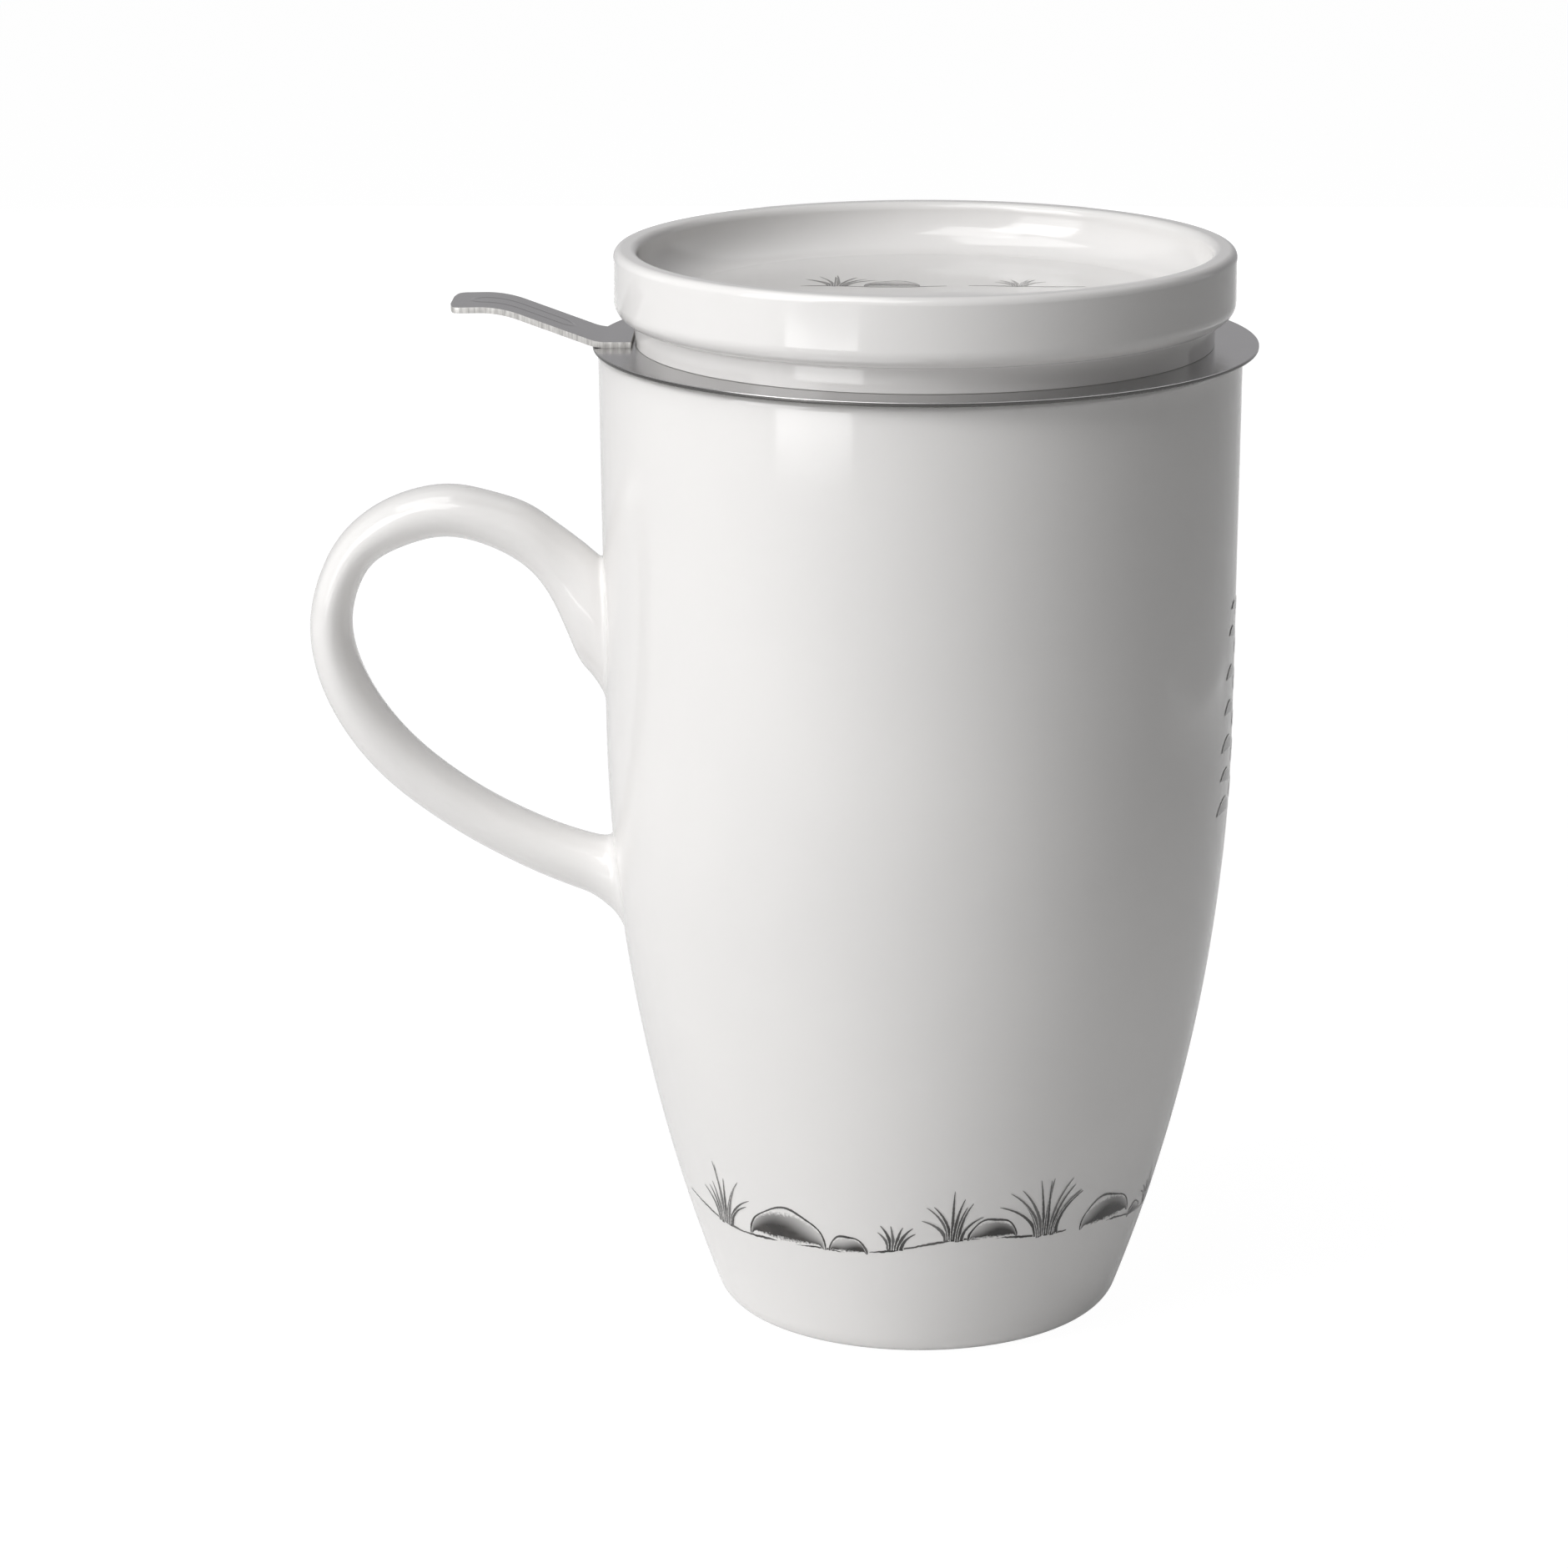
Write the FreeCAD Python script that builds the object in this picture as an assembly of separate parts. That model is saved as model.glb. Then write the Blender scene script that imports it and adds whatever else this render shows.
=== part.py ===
import FreeCAD, Part
import math
import os

# A porcelain tea mug with a luted loop handle, a lift-out steel infuser and a lift-off porcelain lid.
# Millimetres, +Z up. The origin is the centre of the foot ring on the table, on the mug's axis.
# The handle and the infuser's tab point to -X.

# Mug body. A share is a part of the mug's height.
mug_height = 136.4
mouth_radius = 43.85
side_draft = 0.5
belly_share = 0.616
side_curve_radius = 239.0
wall = 3.6
lip_round = 1.2
heel_round = 4.5
foot_ring_width = 3.4
foot_ring_slope = 1.2
foot_recess = 2.0
floor_thickness = 3.8
floor_corner = 10.0

# Handle: a loop of oval section, luted to the body at both ends
handle_low = 57.6
handle_rise = 59.6
handle_reach = 41.2
handle_width = 10.5
handle_upper_root_width = 14.0
handle_lower_root_width = 13.0
handle_upper_flare_sections = 3
handle_lower_flare_sections = 2

# Infuser
infuser_offset = 0.7
rim_overhang = 1.45
rim_sheet = 0.6
collar_depth = 8.0
collar_bend = 1.0
basket_gap = 4.85
basket_sheet = 0.5
basket_share = 0.601
base_rim_height = 6.0
base_bend = 1.0
sleeve_clearance = 0.03
hole_side = 1.6
wall_hole_columns = 24
wall_hole_rows = 5
base_hole_pitch = 9.0
hole_margin = 4.0
seam_columns = 1

# Tab of the infuser
tab_sheet = 0.8
tab_width = 12.4
tab_root_length = 3.5
tab_bend_radius = 7.0
tab_slope_angle = 20.0
tab_slope_length = 10.0
tab_crown_radius = 15.0
tab_droop_angle = 1.0
tab_tip_length = 4.1
tab_tip_bulge = 1.0
tab_tip_corner = 1.6

# Lid
lid_offset = 0.6
lid_inset = 3.05
lid_height = 13.0
lid_lift = 3.4
lid_edge = 3.3
lid_edge_round = 1.1
lid_lower_round = 2.7
dish_depth = 6.6
dish_corner = 4.0
lid_floor = 3.3
neck_inset = 2.85
neck_chamfer = 0.3
spigot_play = 0.9
spigot_depth = 5.0
spigot_wall = 3.4
spigot_chamfer = 0.8

# Gap between pieces that only just clear each other
touch_gap = 0.3

# Two places nearer than this are the same
same_place = 1e-4

# Curves of turned outlines are chains of short flats. The handle has steps between its sections.
outer_side_flat_count = 8
inner_side_flat_count = 4
corner_flat_count = 3
handle_step_count = 2

# Sizes that the pieces share
belly_radius = mouth_radius - side_draft
belly_height = belly_share * mug_height
rim_top = mug_height + rim_sheet
rim_radius = mouth_radius + rim_overhang
basket_radius = mouth_radius - wall - basket_gap
basket_bottom = rim_top - basket_share * mug_height
lid_top = rim_top + lid_height
lid_radius = rim_radius - lid_inset
neck_radius = lid_radius - neck_inset
hole_cutter_depth = 4 * basket_sheet

# The handle's sections, from the upper root round the loop to the lower one. Each has its centre as
# a share of the reach and of the rise, the direction of its depth in degrees, and its depth as a
# share of the handle's width.
handle_sections = [
    (-0.080, 0.580, 90, 2.10),
    (0.035, 0.686, 90, 1.70),
    (0.093, 0.728, 90, 1.61),
    (0.150, 0.790, 92, 1.27),
    (0.240, 0.867, 95, 0.92),
    (0.370, 0.912, 91, 0.72),
    (0.530, 0.936, 92, 0.68),
    (0.712, 0.902, 119, 0.65),
    (0.852, 0.826, 150, 0.55),
    (0.926, 0.672, 179, 0.55),
    (0.877, 0.515, 204, 0.61),
    (0.724, 0.359, 223, 0.65),
    (0.487, 0.228, 236, 0.65),
    (0.232, 0.134, 247, 0.69),
    (0.045, 0.086, 261, 0.76),
    (-0.005, 0.076, 266, 0.82),
    (-0.055, 0.050, 270, 1.18),
]


def point(x, z):
    """A point of a side outline, in the XZ plane."""
    return FreeCAD.Vector(x, 0, z)


def straight(start, end):
    return Part.LineSegment(start, end).toShape()


def arc(centre, radius, first_angle, last_angle):
    """An arc in the XZ plane; angles in degrees from +X towards +Z."""
    places = []
    for angle in (first_angle, (first_angle + last_angle) / 2, last_angle):
        turn = math.radians(angle)
        places.append(centre + point(radius * math.cos(turn), radius * math.sin(turn)))
    return Part.Arc(*places).toShape()


def flats(centre, radius, first_angle, last_angle, count):
    """A curve of a turned outline as a chain of short flats between points of the true arc."""
    places = []
    for step in range(count + 1):
        turn = math.radians(first_angle + (last_angle - first_angle) * step / count)
        places.append(centre + point(radius * math.cos(turn), radius * math.sin(turn)))
    return [straight(start, end) for start, end in zip(places, places[1:])]


def turned(edges, axis_x=0.0):
    """Solid of revolution of a closed side outline about the upright axis at axis_x."""
    face = Part.Face(Part.Wire(Part.__sortEdges__(edges)))
    return face.revolve(point(axis_x, 0), FreeCAD.Vector(0, 0, 1), 360)


def rounded_outline(corners):
    """Edges of a closed outline given as (x, z, rounding) corners."""
    edges = []
    tangent_points = []
    count = len(corners)
    for index, (x, z, rounding) in enumerate(corners):
        here = point(x, z)
        before = point(*corners[index - 1][:2])
        after = point(*corners[(index + 1) % count][:2])
        back = (before - here).normalize()
        ahead = (after - here).normalize()
        half_angle = back.getAngle(ahead) / 2
        inset = rounding / math.tan(half_angle)
        start = here + back * inset
        end = here + ahead * inset
        if rounding > 0:
            centre = here + (back + ahead).normalize() * (rounding / math.sin(half_angle))
            spoke = start - centre
            first_angle = math.degrees(math.atan2(spoke.z, spoke.x))
            side = 1 if back.cross(ahead).y > 0 else -1
            turn = side * (180 - 2 * math.degrees(half_angle))
            edges += flats(centre, rounding, first_angle, first_angle + turn, corner_flat_count)
        tangent_points.append((start, end))
    for index in range(count):
        start = tangent_points[index - 1][1]
        end = tangent_points[index][0]
        if start.distanceToPoint(end) > same_place:
            edges.append(straight(start, end))
    return edges


def side_taper():
    """Lean of the straight upper wall, in radians from upright."""
    return math.atan2(mouth_radius - belly_radius, mug_height - lip_round - belly_height)


def side_centre():
    """Centre of the long arc of the lower side, which runs on from the straight wall without a kink."""
    lean = side_taper()
    return point(
        belly_radius - side_curve_radius * math.cos(lean),
        belly_height + side_curve_radius * math.sin(lean),
    )


def side_edges(inset, bottom, corner, count):
    """The side from the flat bottom up to the lip, offset inwards by inset, its curve in count flats.

    Returns the edges, the start on the flat bottom and the top end.
    """
    centre = side_centre()
    radius = side_curve_radius - inset
    corner_z = bottom + corner
    reach = radius - corner
    corner_x = centre.x + math.sqrt(reach**2 - (corner_z - centre.z) ** 2)
    corner_centre = point(corner_x, corner_z)
    outward = corner_centre - centre
    low_angle = math.degrees(math.atan2(outward.z, outward.x))
    high_angle = -math.degrees(side_taper())
    top = point(mouth_radius - inset, mug_height - lip_round)
    start = point(corner_x, bottom)
    corner_curve = flats(corner_centre, corner, -90, low_angle, corner_flat_count)
    long_curve = flats(centre, radius, low_angle, high_angle, count)
    upper_wall = straight(long_curve[-1].Vertexes[-1].Point, top)
    return corner_curve + long_curve + [upper_wall], start, top


def make_mug_body():
    """The body: a hollow turned form with a rounded lip and a recessed foot ring."""
    outer, foot_edge, outer_top = side_edges(0, 0, heel_round, outer_side_flat_count)
    floor_top = foot_recess + floor_thickness
    inner, floor_edge, inner_top = side_edges(wall, floor_top, floor_corner, inner_side_flat_count)
    outer_lip = flats(outer_top - point(lip_round, 0), lip_round, 0, 90, corner_flat_count)
    inner_lip = flats(inner_top + point(lip_round, 0), lip_round, 90, 180, corner_flat_count)
    lip_top = straight(outer_top + point(-lip_round, lip_round), inner_top + point(lip_round, lip_round))
    ring_inside = foot_edge - point(foot_ring_width, 0)
    recess_edge = ring_inside + point(-foot_ring_slope, foot_recess)
    bottom = [
        straight(foot_edge, ring_inside),
        straight(ring_inside, recess_edge),
        straight(recess_edge, point(0, foot_recess)),
        straight(point(0, foot_recess), point(0, floor_top)),
        straight(point(0, floor_top), floor_edge),
    ]
    return turned(outer + outer_lip + [lip_top] + inner_lip + inner + bottom)


def make_body_core():
    """The body's outer form without its hollow, used to trim the handle's ends to the wall."""
    outer, foot_edge, outer_top = side_edges(0, 0, heel_round, outer_side_flat_count)
    closing = [
        straight(outer_top, point(0, outer_top.z)),
        straight(point(0, outer_top.z), point(0, 0)),
        straight(point(0, 0), foot_edge),
    ]
    return turned(outer + closing)


def root_width(index):
    """Width of the handle at one of its sections, wider where it meets the body."""
    from_end = len(handle_sections) - 1 - index
    upper_flare = max(0.0, 1 - index / handle_upper_flare_sections)
    lower_flare = max(0.0, 1 - from_end / handle_lower_flare_sections)
    return (
        handle_width
        + (handle_upper_root_width - handle_width) * upper_flare
        + (handle_lower_root_width - handle_width) * lower_flare
    )


def smooth_value(before, start, end, after, part):
    """A value between start and end on a smooth curve that also passes its neighbours."""
    slope_in = (end - before) / 2
    slope_out = (after - start) / 2
    return (
        start * (2 * part**3 - 3 * part**2 + 1)
        + slope_in * (part**3 - 2 * part**2 + part)
        + end * (3 * part**2 - 2 * part**3)
        + slope_out * (part**3 - part**2)
    )


def smooth_sections():
    """The handle's sections with steps between them, each (out, up, direction, depth, width)."""
    rows = [row + (root_width(index) / handle_width,) for index, row in enumerate(handle_sections)]
    rows = [rows[0]] + rows + [rows[-1]]
    stepped = []
    for first in range(len(rows) - 3):
        for step in range(handle_step_count):
            columns = zip(*rows[first : first + 4])
            stepped.append([smooth_value(*column, step / handle_step_count) for column in columns])
    stepped.append(rows[-1])
    return stepped


def handle_section(share_out, share_up, direction, depth_share, width_share):
    """One oval section of the handle, in the plane that holds the Y axis and its depth."""
    centre = point(-belly_radius - share_out * handle_reach, handle_low + share_up * handle_rise)
    turn = math.radians(direction)
    along_depth = point(math.cos(turn), math.sin(turn))
    across = FreeCAD.Vector(0, 1, 0)
    half_depth = depth_share * handle_width / 2
    half_width = width_share * handle_width / 2
    if half_depth >= half_width:
        oval = Part.Ellipse(centre + along_depth * half_depth, centre + across * half_width, centre)
    else:
        oval = Part.Ellipse(centre + across * half_width, centre + along_depth * half_depth, centre)
    return Part.Wire(oval.toShape())


def make_mug_handle():
    """The loop handle: a loft through oval sections, with its ends trimmed to the body."""
    loop = Part.makeLoft([handle_section(*section) for section in smooth_sections()], True, True)
    return loop.cut(make_body_core())


def make_infuser_rim():
    """The wide flat rim of the infuser, drawn down into a collar that holds the basket."""
    outside = basket_radius - basket_sheet - sleeve_clearance
    inside = outside - rim_sheet
    corners = [
        (rim_radius, rim_top, 0),
        (inside, rim_top, collar_bend + rim_sheet),
        (inside, rim_top - collar_depth, 0),
        (outside, rim_top - collar_depth, 0),
        (outside, mug_height, collar_bend),
        (rim_radius, mug_height, 0),
    ]
    return turned(rounded_outline([(infuser_offset + x, z, r) for x, z, r in corners]), infuser_offset)


def square_hole(depth):
    """Cutter for one small square hole: a bar along X."""
    return Part.makeBox(depth, hole_side, hole_side, FreeCAD.Vector(0, -hole_side / 2, -hole_side / 2))


def make_infuser_wall():
    """The perforated sheet rolled into the basket's wall, with plain borders and a plain seam strip."""
    top = mug_height - collar_bend - touch_gap
    bottom = basket_bottom + basket_sheet + base_bend
    shell = Part.makeCylinder(basket_radius, top - bottom, point(infuser_offset, bottom))
    hollow = Part.makeCylinder(basket_radius - basket_sheet, top - bottom, point(infuser_offset, bottom))
    shell = shell.cut(hollow)
    field_top = rim_top - collar_depth - hole_margin
    field_bottom = basket_bottom + base_rim_height + hole_margin
    row_step = (field_top - field_bottom) / (wall_hole_rows - 1)
    column_step = 360 / wall_hole_columns
    cutters = []
    for row in range(wall_hole_rows):
        stagger = column_step / 2 * (row % 2)
        for column in range(wall_hole_columns - seam_columns):
            cutter = square_hole(hole_cutter_depth)
            reach = basket_radius - basket_sheet / 2 - hole_cutter_depth / 2
            cutter.translate(FreeCAD.Vector(reach, 0, field_bottom + row * row_step))
            cutter.rotate(
                FreeCAD.Vector(0, 0, 0),
                FreeCAD.Vector(0, 0, 1),
                (column + seam_columns / 2) * column_step + stagger,
            )
            cutter.translate(point(infuser_offset, 0))
            cutters.append(cutter)
    return shell.cut(Part.makeCompound(cutters))


def make_infuser_base():
    """The perforated base: a disc whose turned-up rim sleeves over the foot of the wall."""
    inside = basket_radius + sleeve_clearance
    outside = inside + basket_sheet
    corners = [
        (0, basket_bottom, 0),
        (outside, basket_bottom, base_bend + basket_sheet),
        (outside, basket_bottom + base_rim_height, 0),
        (inside, basket_bottom + base_rim_height, 0),
        (inside, basket_bottom + basket_sheet, base_bend),
        (0, basket_bottom + basket_sheet, 0),
    ]
    cup = turned(rounded_outline([(infuser_offset + x, z, r) for x, z, r in corners]), infuser_offset)
    field_radius = inside - base_bend - hole_margin
    reach = int(field_radius / base_hole_pitch)
    cutters = []
    for column in range(-reach, reach + 1):
        for row in range(-reach, reach + 1):
            if math.hypot(column, row) * base_hole_pitch > field_radius:
                continue
            cutter = square_hole(hole_cutter_depth)
            cutter.translate(FreeCAD.Vector(-hole_cutter_depth / 2, 0, 0))
            cutter.rotate(FreeCAD.Vector(0, 0, 0), FreeCAD.Vector(0, 1, 0), 90)
            across = infuser_offset + column * base_hole_pitch
            cutter.translate(FreeCAD.Vector(across, row * base_hole_pitch, basket_bottom))
            cutters.append(cutter)
    return cup.cut(Part.makeCompound(cutters))


def strip_side(start, heading, moves):
    """Edges of a path of straight runs and tangent turns.

    A move is (length, 0) for a run, or (radius, angle) for a turn, with the angle in degrees,
    positive to the left of the way the path goes.
    """
    edges = []
    here = start
    for size, angle in moves:
        along = point(math.cos(math.radians(heading)), math.sin(math.radians(heading)))
        if angle == 0:
            there = here + along * size
            edges.append(straight(here, there))
        else:
            side = 1 if angle > 0 else -1
            centre = here + point(-along.z, along.x) * (side * size)
            first = heading - 90 * side
            edges.append(arc(centre, size, first, first + angle))
            last = math.radians(first + angle)
            there = centre + point(math.cos(last), math.sin(last)) * size
            heading += angle
        here = there
    return edges, here


def make_infuser_tab():
    """The lifting tab: a strip that lies flat on the rim, bends up and curves over to a rounded tip."""
    root = lid_offset - neck_radius - touch_gap
    moves_below = [
        (tab_root_length, 0),
        (tab_bend_radius, -tab_slope_angle),
        (tab_slope_length, 0),
        (tab_crown_radius, tab_slope_angle + tab_droop_angle),
        (tab_tip_length, 0),
    ]
    moves_above = [
        (tab_root_length, 0),
        (tab_bend_radius - tab_sheet, -tab_slope_angle),
        (tab_slope_length, 0),
        (tab_crown_radius + tab_sheet, tab_slope_angle + tab_droop_angle),
        (tab_tip_length, 0),
    ]
    below, tip_below = strip_side(point(root, rim_top), 180, moves_below)
    above, tip_above = strip_side(point(root, rim_top + tab_sheet), 180, moves_above)
    ends = [straight(point(root, rim_top), point(root, rim_top + tab_sheet)), straight(tip_below, tip_above)]
    face = Part.Face(Part.Wire(Part.__sortEdges__(below + above + ends)))
    strip = face.extrude(FreeCAD.Vector(0, tab_width, 0))
    strip.translate(FreeCAD.Vector(0, -tab_width / 2, 0))
    tip = min(tip_below.x, tip_above.x)
    shoulder = tip + tab_tip_bulge
    half = tab_width / 2
    outline = [
        Part.LineSegment(FreeCAD.Vector(root, half, 0), FreeCAD.Vector(shoulder, half, 0)).toShape(),
        Part.Arc(
            FreeCAD.Vector(shoulder, half, 0), FreeCAD.Vector(tip, 0, 0), FreeCAD.Vector(shoulder, -half, 0)
        ).toShape(),
        Part.LineSegment(FreeCAD.Vector(shoulder, -half, 0), FreeCAD.Vector(root, -half, 0)).toShape(),
        Part.LineSegment(FreeCAD.Vector(root, -half, 0), FreeCAD.Vector(root, half, 0)).toShape(),
    ]
    plan = Part.Face(Part.Wire(outline)).extrude(FreeCAD.Vector(0, 0, lid_top))
    corners = [
        edge
        for edge in plan.Edges
        if edge.BoundBox.ZLength > mug_height and abs(edge.BoundBox.Center.x - shoulder) < same_place
    ]
    plan = plan.makeFillet(tab_tip_corner, corners)
    return strip.common(plan)


def make_lid():
    """The lid: a shallow dish on a neck that stands on the rim, with a hollow spigot in the basket."""
    collar_inside = basket_radius - basket_sheet - sleeve_clearance - rim_sheet
    spigot_radius = collar_inside - spigot_play
    hollow_radius = spigot_radius - spigot_wall
    underside = rim_top + lid_lift
    dish_floor = lid_top - dish_depth
    hollow_top = dish_floor - lid_floor
    corners = [
        (0, dish_floor, 0),
        (lid_radius - lid_edge, dish_floor, dish_corner),
        (lid_radius - lid_edge, lid_top, lid_edge_round),
        (lid_radius, lid_top, lid_edge_round),
        (lid_radius, underside, lid_lower_round),
        (neck_radius, underside, 0),
        (neck_radius, rim_top + neck_chamfer, 0),
        (neck_radius - neck_chamfer, rim_top, 0),
        (spigot_radius, rim_top, 0),
        (spigot_radius, rim_top - spigot_depth + spigot_chamfer, 0),
        (spigot_radius - spigot_chamfer, rim_top - spigot_depth, 0),
        (hollow_radius, rim_top - spigot_depth, 0),
        (hollow_radius, hollow_top, lid_floor),
        (0, hollow_top, 0),
    ]
    return turned(rounded_outline([(lid_offset + x, z, r) for x, z, r in corners]), lid_offset)


makers = {
    "mug_body": make_mug_body,
    "mug_handle": make_mug_handle,
    "infuser_rim": make_infuser_rim,
    "infuser_wall": make_infuser_wall,
    "infuser_base": make_infuser_base,
    "infuser_tab": make_infuser_tab,
    "lid": make_lid,
}

os.makedirs("parts", exist_ok=True)
for name, make in makers.items():
    shape = make()
    print(name, "valid" if shape.isValid() else "not valid", len(shape.Solids), round(shape.Volume, 1))
    shape.exportStep("parts/" + name + ".step")
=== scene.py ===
import math
import random

import bmesh
import bpy
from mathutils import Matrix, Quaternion, Vector


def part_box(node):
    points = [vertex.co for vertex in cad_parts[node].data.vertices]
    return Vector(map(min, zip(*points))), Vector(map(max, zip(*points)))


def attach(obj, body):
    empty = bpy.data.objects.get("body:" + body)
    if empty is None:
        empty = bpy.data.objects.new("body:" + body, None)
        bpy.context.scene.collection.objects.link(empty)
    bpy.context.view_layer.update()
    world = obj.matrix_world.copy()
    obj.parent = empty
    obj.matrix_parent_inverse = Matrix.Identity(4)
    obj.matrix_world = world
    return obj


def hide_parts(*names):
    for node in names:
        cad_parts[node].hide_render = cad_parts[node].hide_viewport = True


# A porcelain tea mug with a loop handle, a lift-out steel infuser and a lift-off porcelain lid

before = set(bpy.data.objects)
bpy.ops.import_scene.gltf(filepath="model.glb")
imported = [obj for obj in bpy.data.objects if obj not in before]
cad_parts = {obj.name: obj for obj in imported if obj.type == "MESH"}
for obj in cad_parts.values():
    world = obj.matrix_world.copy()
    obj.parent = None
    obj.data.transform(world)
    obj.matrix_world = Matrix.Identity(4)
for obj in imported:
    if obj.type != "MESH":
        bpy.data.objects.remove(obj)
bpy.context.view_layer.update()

# Metres throughout, +Z up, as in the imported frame. Sizes are written in millimetres times MM.
MM = 0.001

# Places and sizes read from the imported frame
mug_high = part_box("mug_body")[1]
rim_low, rim_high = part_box("infuser_rim")
wall_low, wall_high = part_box("infuser_wall")
base_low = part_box("infuser_base")[0]
tab_low, tab_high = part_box("infuser_tab")
lid_low, lid_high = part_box("lid")
mug_height = mug_high.z
mouth_radius = mug_high.x
infuser_centre = (rim_low.x + rim_high.x) / 2
rim_radius = (rim_high.x - rim_low.x) / 2
rim_top = rim_high.z
basket_radius = (wall_high.x - wall_low.x) / 2
lid_centre = (lid_low.x + lid_high.x) / 2
lid_radius = (lid_high.x - lid_low.x) / 2

# Mug body. A share is a part of the mug's height.
side_draft = 0.5 * MM
belly_share = 0.616
belly_radius = mouth_radius - side_draft
belly_height = belly_share * mug_height
side_curve_radius = 239.0 * MM
wall = 3.6 * MM
lip_round = 1.2 * MM
heel_round = 4.5 * MM
foot_ring_width = 3.4 * MM
foot_ring_slope = 1.2 * MM
foot_ring_round = 0.5 * MM
foot_recess = 2.0 * MM
floor_thickness = 3.8 * MM
floor_corner = 10.0 * MM

# Handle: the same sections as in the CAD, each with its centre as a share of reach and rise, the
# direction of its depth in degrees and its depth as a share of the width
handle_low = 57.6 * MM
handle_rise = 59.6 * MM
handle_reach = 41.2 * MM
handle_width = 10.5 * MM
handle_upper_root_width = 14.0 * MM
handle_lower_root_width = 13.0 * MM
handle_upper_flare_sections = 3
handle_lower_flare_sections = 2
upper_root_fillet = 1.1 * MM
lower_root_fillet = 1.5 * MM
# Past its foot a fillet runs on by this share of its size, dips under the glaze and ends in the wall
fillet_run_out = 0.3
fillet_end_sunk = 0.06 * MM
handle_end_sunk = 1.2 * MM
# The handle leaves the wall within this many sections from each end
handle_root_sections = 4
# The sections are evened out over this run, which is whole from this section on
handle_even_run = 2.5 * MM
handle_even_section = 3
handle_sections = [
    (-0.080, 0.580, 90, 2.10),
    (0.035, 0.686, 90, 1.70),
    (0.093, 0.728, 90, 1.61),
    (0.150, 0.790, 92, 1.27),
    (0.240, 0.867, 95, 0.92),
    (0.370, 0.912, 91, 0.72),
    (0.530, 0.936, 92, 0.68),
    (0.712, 0.902, 119, 0.65),
    (0.852, 0.826, 150, 0.55),
    (0.926, 0.672, 179, 0.55),
    (0.877, 0.515, 204, 0.61),
    (0.724, 0.359, 223, 0.65),
    (0.487, 0.228, 236, 0.65),
    (0.232, 0.134, 247, 0.69),
    (0.045, 0.086, 261, 0.76),
    (-0.005, 0.076, 266, 0.82),
    (-0.055, 0.050, 270, 1.18),
]

# Infuser
rim_sheet = 0.6 * MM
rim_top_round = 0.10 * MM
rim_under_round = 0.30 * MM
collar_depth = 8.0 * MM
collar_bend = 1.0 * MM
basket_sheet = 0.5 * MM
base_rim_height = 6.0 * MM
base_bend = 1.0 * MM
sheet_edge_round = 0.12 * MM
sleeve_clearance = 0.03 * MM
hole_size = 1.4 * MM
hole_pitch = 2.7 * MM
hole_row_step = hole_pitch * math.sin(math.radians(60))
hole_margin = 3.0 * MM
hole_cutter_depth = 4 * basket_sheet
# A face that turns aside from the sheet's radius by more than this sine is the wall of a hole
hole_wall_turn = 0.1
seam_width = 7.0 * MM

# Tab of the infuser
tab_sheet = 0.8 * MM
tab_root_length = 3.5 * MM
tab_bend_radius = 7.0 * MM
tab_slope_angle = 20.0
tab_slope_length = 10.0 * MM
tab_crown_radius = 15.0 * MM
tab_droop_angle = 1.0
tab_tip_length = 4.1 * MM
tab_tip_bulge = 1.0 * MM
tab_tip_corner = 1.6 * MM
tab_tip_corner_share = 0.55
tab_tip_power = 6
tab_tip_end = 0.05 * MM
tab_edge_round = 0.12 * MM

# Plain raised outline on the tab, in the shape of a slot. Its middle is measured from the tab's root.
outline_middle = 15.6 * MM
outline_half_straight = 5.0 * MM
outline_end_radius = 1.9 * MM
outline_height = 0.07 * MM
outline_half_width = 0.22 * MM

# Lid
lid_edge = 3.3 * MM
lid_edge_round = 1.1 * MM
lid_lower_round = 2.7 * MM
lid_lift = 3.4 * MM
dish_depth = 6.6 * MM
dish_corner = 5.4 * MM
lid_floor = 3.3 * MM
neck_radius = 39.4 * MM
neck_round = 0.35 * MM
neck_foot_round = 0.12 * MM
spigot_play = 0.9 * MM
spigot_depth = 5.0 * MM
spigot_wall = 3.4 * MM
spigot_round = 0.8 * MM
dish_floor = lid_high.z - dish_depth

# Fineness of the meshes, and of the search for the handle's way out of the wall
turned_steps = 288
hole_steps = 8
handle_steps = 56
handle_rows = 150
fillet_steps = 6
corner_runs = 8
lid_corner_runs = 12
side_runs = 64
inner_side_runs = 48
heel_runs = 12
floor_corner_runs = 16
tab_step = 0.16 * MM
tab_columns = 80
tab_bevel_segments = 3
tab_bevel_angle = 50.0
fillet_search_step = 0.05
crossing_halvings = 30

# Place of the second material: on the rim's edge a darker steel, which is painted shade, and on the
# tab's cut edge the sheared steel
SHADED_RIM_OR_SHEARED_TAB_EDGE = 1


# Outlines

def arc(centre, radius, first, last, runs=corner_runs):
    """Points (r, z) of an arc in short runs. Angles are in degrees, from outwards towards up."""
    points = []
    for step in range(runs + 1):
        angle = math.radians(first + (last - first) * step / runs)
        points.append((centre[0] + radius * math.cos(angle), centre[1] + radius * math.sin(angle)))
    return points


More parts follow.
